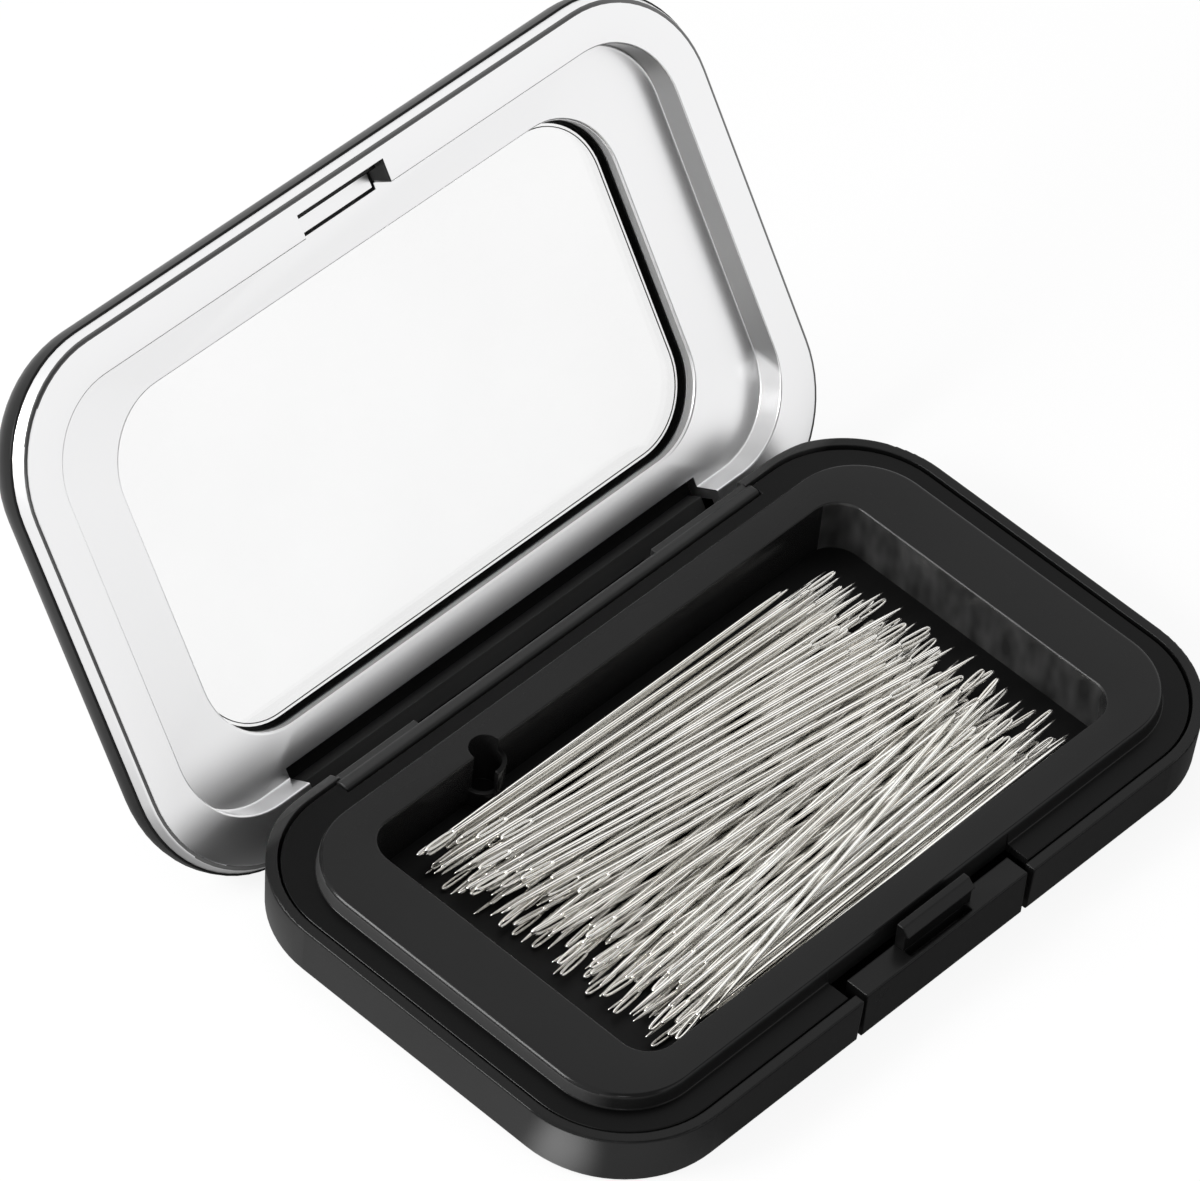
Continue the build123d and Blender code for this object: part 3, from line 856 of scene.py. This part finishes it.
# CAD pieces that are shown as they are
for name, look in (("base_shell", base_back_painted_light), ("magnet_sheet", sheet_black),
                   ("hinge_pin_left", pin_steel), ("hinge_pin_right", pin_steel),
                   ("latch_pin", pin_steel), ("latch_tab", shell_black), ("latch_hook", shell_black),
                   ("hinge_leaf", leaf_black)):
    nodes[name].data.materials.clear()
    nodes[name].data.materials.append(look)

# Floor, tilted to lie under the front of the standing pad and the lowest edge of the lid
PAD_FRONT = -27.3
FLOOR_HALF = 3000
# How much of the floor's own shade is replaced by white for the camera
FLOOR_WHITENING = 0.88
# What reflections see of the floor: dimmer towards the right and the back, with a bright patch
FLOOR_SIDE_FADE = (-46, -30, 0.75, 0.12)
FLOOR_BACK_FADE = (47, 61, 1.0, 0.35)
FLOOR_PATCH_CENTRE = (-50.5, 7.5, 0)
FLOOR_PATCH = (1, 7, 4.0, 0.0)
FLOOR_FAR = (75, 120, 0.0, 1.0)
FLOOR_FAR_LEVEL = 0.97


def length_ramp(tree, source, values):
    """Return a soft change over a stretch in millimetres: its start, its end and the two levels."""
    start, end, low, high = values
    return ramp(tree, source, start * MM, end * MM, low, high)


def white_floor(name):
    """White floor that keeps its shadows, and has shades of its own that only reflections see."""
    made, shader, tree = material(name, grey(0.93), rough=0.9, Specular_IOR_Level=0.0)
    path = tree.nodes.new("ShaderNodeLightPath").outputs
    seen = join(tree, "MAXIMUM", path["Is Camera Ray"], path["Is Transmission Ray"])
    mirrored = join(tree, "MAXIMUM", join(tree, "SUBTRACT", path["Is Glossy Ray"], seen), 0.0)
    place = tree.nodes.new("ShaderNodeTexCoord").outputs["Object"]
    near = join(tree, "MULTIPLY", length_ramp(tree, axes(tree, place)["X"], FLOOR_SIDE_FADE),
                length_ramp(tree, axes(tree, place)["Y"], FLOOR_BACK_FADE))
    patch = length_ramp(tree, measure(tree, "DISTANCE", place, flat(*FLOOR_PATCH_CENTRE)), FLOOR_PATCH)
    far = length_ramp(tree, measure(tree, "DISTANCE", place, flat(0, 0, 0)), FLOOR_FAR)
    reflected = blend(tree, far, join(tree, "ADD", near, patch), FLOOR_FAR_LEVEL)
    glow = tree.nodes.new("ShaderNodeEmission")
    glow.inputs["Color"].default_value = (1, 1, 1, 1)
    tree.links.new(blend(tree, mirrored, 1.0, reflected), glow.inputs["Strength"])
    glow_share = join(tree, "MAXIMUM", join(tree, "MULTIPLY", seen, FLOOR_WHITENING), mirrored)
    mix_surfaces(tree, glow_share, shader.outputs["BSDF"], glow.outputs["Emission"], "Material Output")
    return made


floor_tilt = max(atan2(-vertex.co.z, vertex.co.y - PAD_FRONT * MM) for vertex in lid_cover.data.vertices)
floor = solid("floor", [flat(x, y, 0) for x, y in ((-FLOOR_HALF, -FLOOR_HALF), (FLOOR_HALF, -FLOOR_HALF),
                                                   (FLOOR_HALF, FLOOR_HALF), (-FLOOR_HALF, FLOOR_HALF))],
              [(0, 1, 2, 3)])
floor.matrix_world = Matrix.Translation(flat(0, PAD_FRONT, 0)) @ Matrix.Rotation(-floor_tilt, 4, "X")
floor.data.materials.append(white_floor("floor_white"))

# World
DOME_LEVEL = 0.75
BACKDROP_LEVEL = 0.98
# The dim part of the reflected room is round, and soft from its outer to its inner radius in degrees
DIM_WAY = direction(-82, 33)
DIM_OUTER = 58
DIM_INNER = 50
DIM_LEVEL = 0.15
# The bright card covers a stretch of the compass, with soft sides and a soft top, all in degrees
CARD_WAY = direction(-45, 0)
CARD_HALF_OUTER = 48
CARD_HALF_INNER = 43
CARD_TOP_INNER = 34
CARD_TOP_OUTER = 44
CARD_LEVEL = 1.06


def reflected_room(tree):
    """Return the level of the room that reflections see, dim above the front and with a bright card."""
    heading = tree.nodes.new("ShaderNodeTexCoord").outputs["Generated"]
    dim = ramp(tree, measure(tree, "DOT_PRODUCT", heading, DIM_WAY),
               cos(radians(DIM_OUTER)), cos(radians(DIM_INNER)), 1.0, DIM_LEVEL)
    level = tree.nodes.new("ShaderNodeVectorMath")
    level.operation = "MULTIPLY"
    level.inputs[1].default_value = (1, 1, 0)
    tree.links.new(heading, level.inputs[0])
    compass = tree.nodes.new("ShaderNodeVectorMath")
    compass.operation = "NORMALIZE"
    tree.links.new(level.outputs["Vector"], compass.inputs[0])
    sides = ramp(tree, measure(tree, "DOT_PRODUCT", compass.outputs["Vector"], CARD_WAY),
                 cos(radians(CARD_HALF_OUTER)), cos(radians(CARD_HALF_INNER)), 0.0, 1.0)
    top = ramp(tree, measure(tree, "DOT_PRODUCT", heading, (0, 0, 1)),
               sin(radians(CARD_TOP_INNER)), sin(radians(CARD_TOP_OUTER)), 1.0, 0.0)
    return blend(tree, join(tree, "MULTIPLY", sides, top), dim, CARD_LEVEL)


def studio(name):
    """Plain dome of light, white to the camera and with a room of its own for reflections."""
    world = bpy.data.worlds.new(name)
    world.use_nodes = True
    tree = world.node_tree
    dome = tree.nodes["Background"]
    backdrop = tree.nodes.new("ShaderNodeBackground")
    for light in (dome, backdrop):
        light.inputs["Color"].default_value = (1, 1, 1, 1)
    dome.inputs["Strength"].default_value = DOME_LEVEL
    path = tree.nodes.new("ShaderNodeLightPath").outputs
    seen = join(tree, "MAXIMUM", path["Is Camera Ray"], path["Is Transmission Ray"])
    level = blend(tree, seen, reflected_room(tree), BACKDROP_LEVEL)
    tree.links.new(level, backdrop.inputs["Strength"])
    mix_surfaces(tree, join(tree, "MAXIMUM", seen, path["Is Glossy Ray"]), dome.outputs["Background"],
                 backdrop.outputs["Background"], "World Output")
    return world


bpy.context.scene.world = studio("studio")


# Lamps
def softbox(name, azimuth, elevation, distance, size, brightness):
    """Stand a square soft light round the case, facing it."""
    light = bpy.data.lights.new(name, "AREA")
    light.shape = "RECTANGLE"
    light.size = size * MM
    light.size_y = size * MM
    light.energy = brightness * pi * (size * MM) ** 2
    lamp = bpy.data.objects.new(name, light)
    bpy.context.scene.collection.objects.link(lamp)
    out = direction(azimuth, elevation)
    lamp.location = out * distance * MM
    lamp.rotation_euler = (-out).to_track_quat("-Z", "Y").to_euler()


softbox("left_box", azimuth=150, elevation=32, distance=400, size=150, brightness=18.0)
softbox("camera_box", azimuth=-134, elevation=27, distance=800, size=140, brightness=5.5)
softbox("needle_box", azimuth=0, elevation=58, distance=400, size=120, brightness=0.5)

# Camera, fitted to the edges in the photo, with its focal length and shift in pixels of the photo
TARGET = (4.64, 26.103, 5.0)
AZIMUTH = -141.32014
ELEVATION = 47.20772
ROLL = radians(6.69038)
DISTANCE = 917.127
FOCAL_PIXELS = 8865.47
SHIFT_X_PIXELS = 13.645
SHIFT_Y_PIXELS = 32.429
PHOTO_WIDTH = 1200
SENSOR = 36.0
FARTHEST_SEEN = 10
away = direction(AZIMUTH, ELEVATION)
level_right = (-away).cross(Vector((0, 0, 1))).normalized()
level_up = level_right.cross(-away)
right = cos(ROLL) * level_right + sin(ROLL) * level_up
up = cos(ROLL) * level_up - sin(ROLL) * level_right
place = (Vector(TARGET) + away * DISTANCE) * MM
camera = bpy.data.objects.new("camera", bpy.data.cameras.new("camera"))
bpy.context.scene.collection.objects.link(camera)
camera.matrix_world = Matrix(((right.x, up.x, away.x, place.x), (right.y, up.y, away.y, place.y),
                              (right.z, up.z, away.z, place.z), (0, 0, 0, 1)))
camera.data.sensor_width = SENSOR
camera.data.sensor_fit = "HORIZONTAL"
camera.data.lens = FOCAL_PIXELS * SENSOR / PHOTO_WIDTH
camera.data.shift_x = SHIFT_X_PIXELS / PHOTO_WIDTH
camera.data.shift_y = SHIFT_Y_PIXELS / PHOTO_WIDTH
camera.data.clip_end = FARTHEST_SEEN
bpy.context.scene.camera = camera
bpy.context.scene.view_settings.view_transform = "Standard"
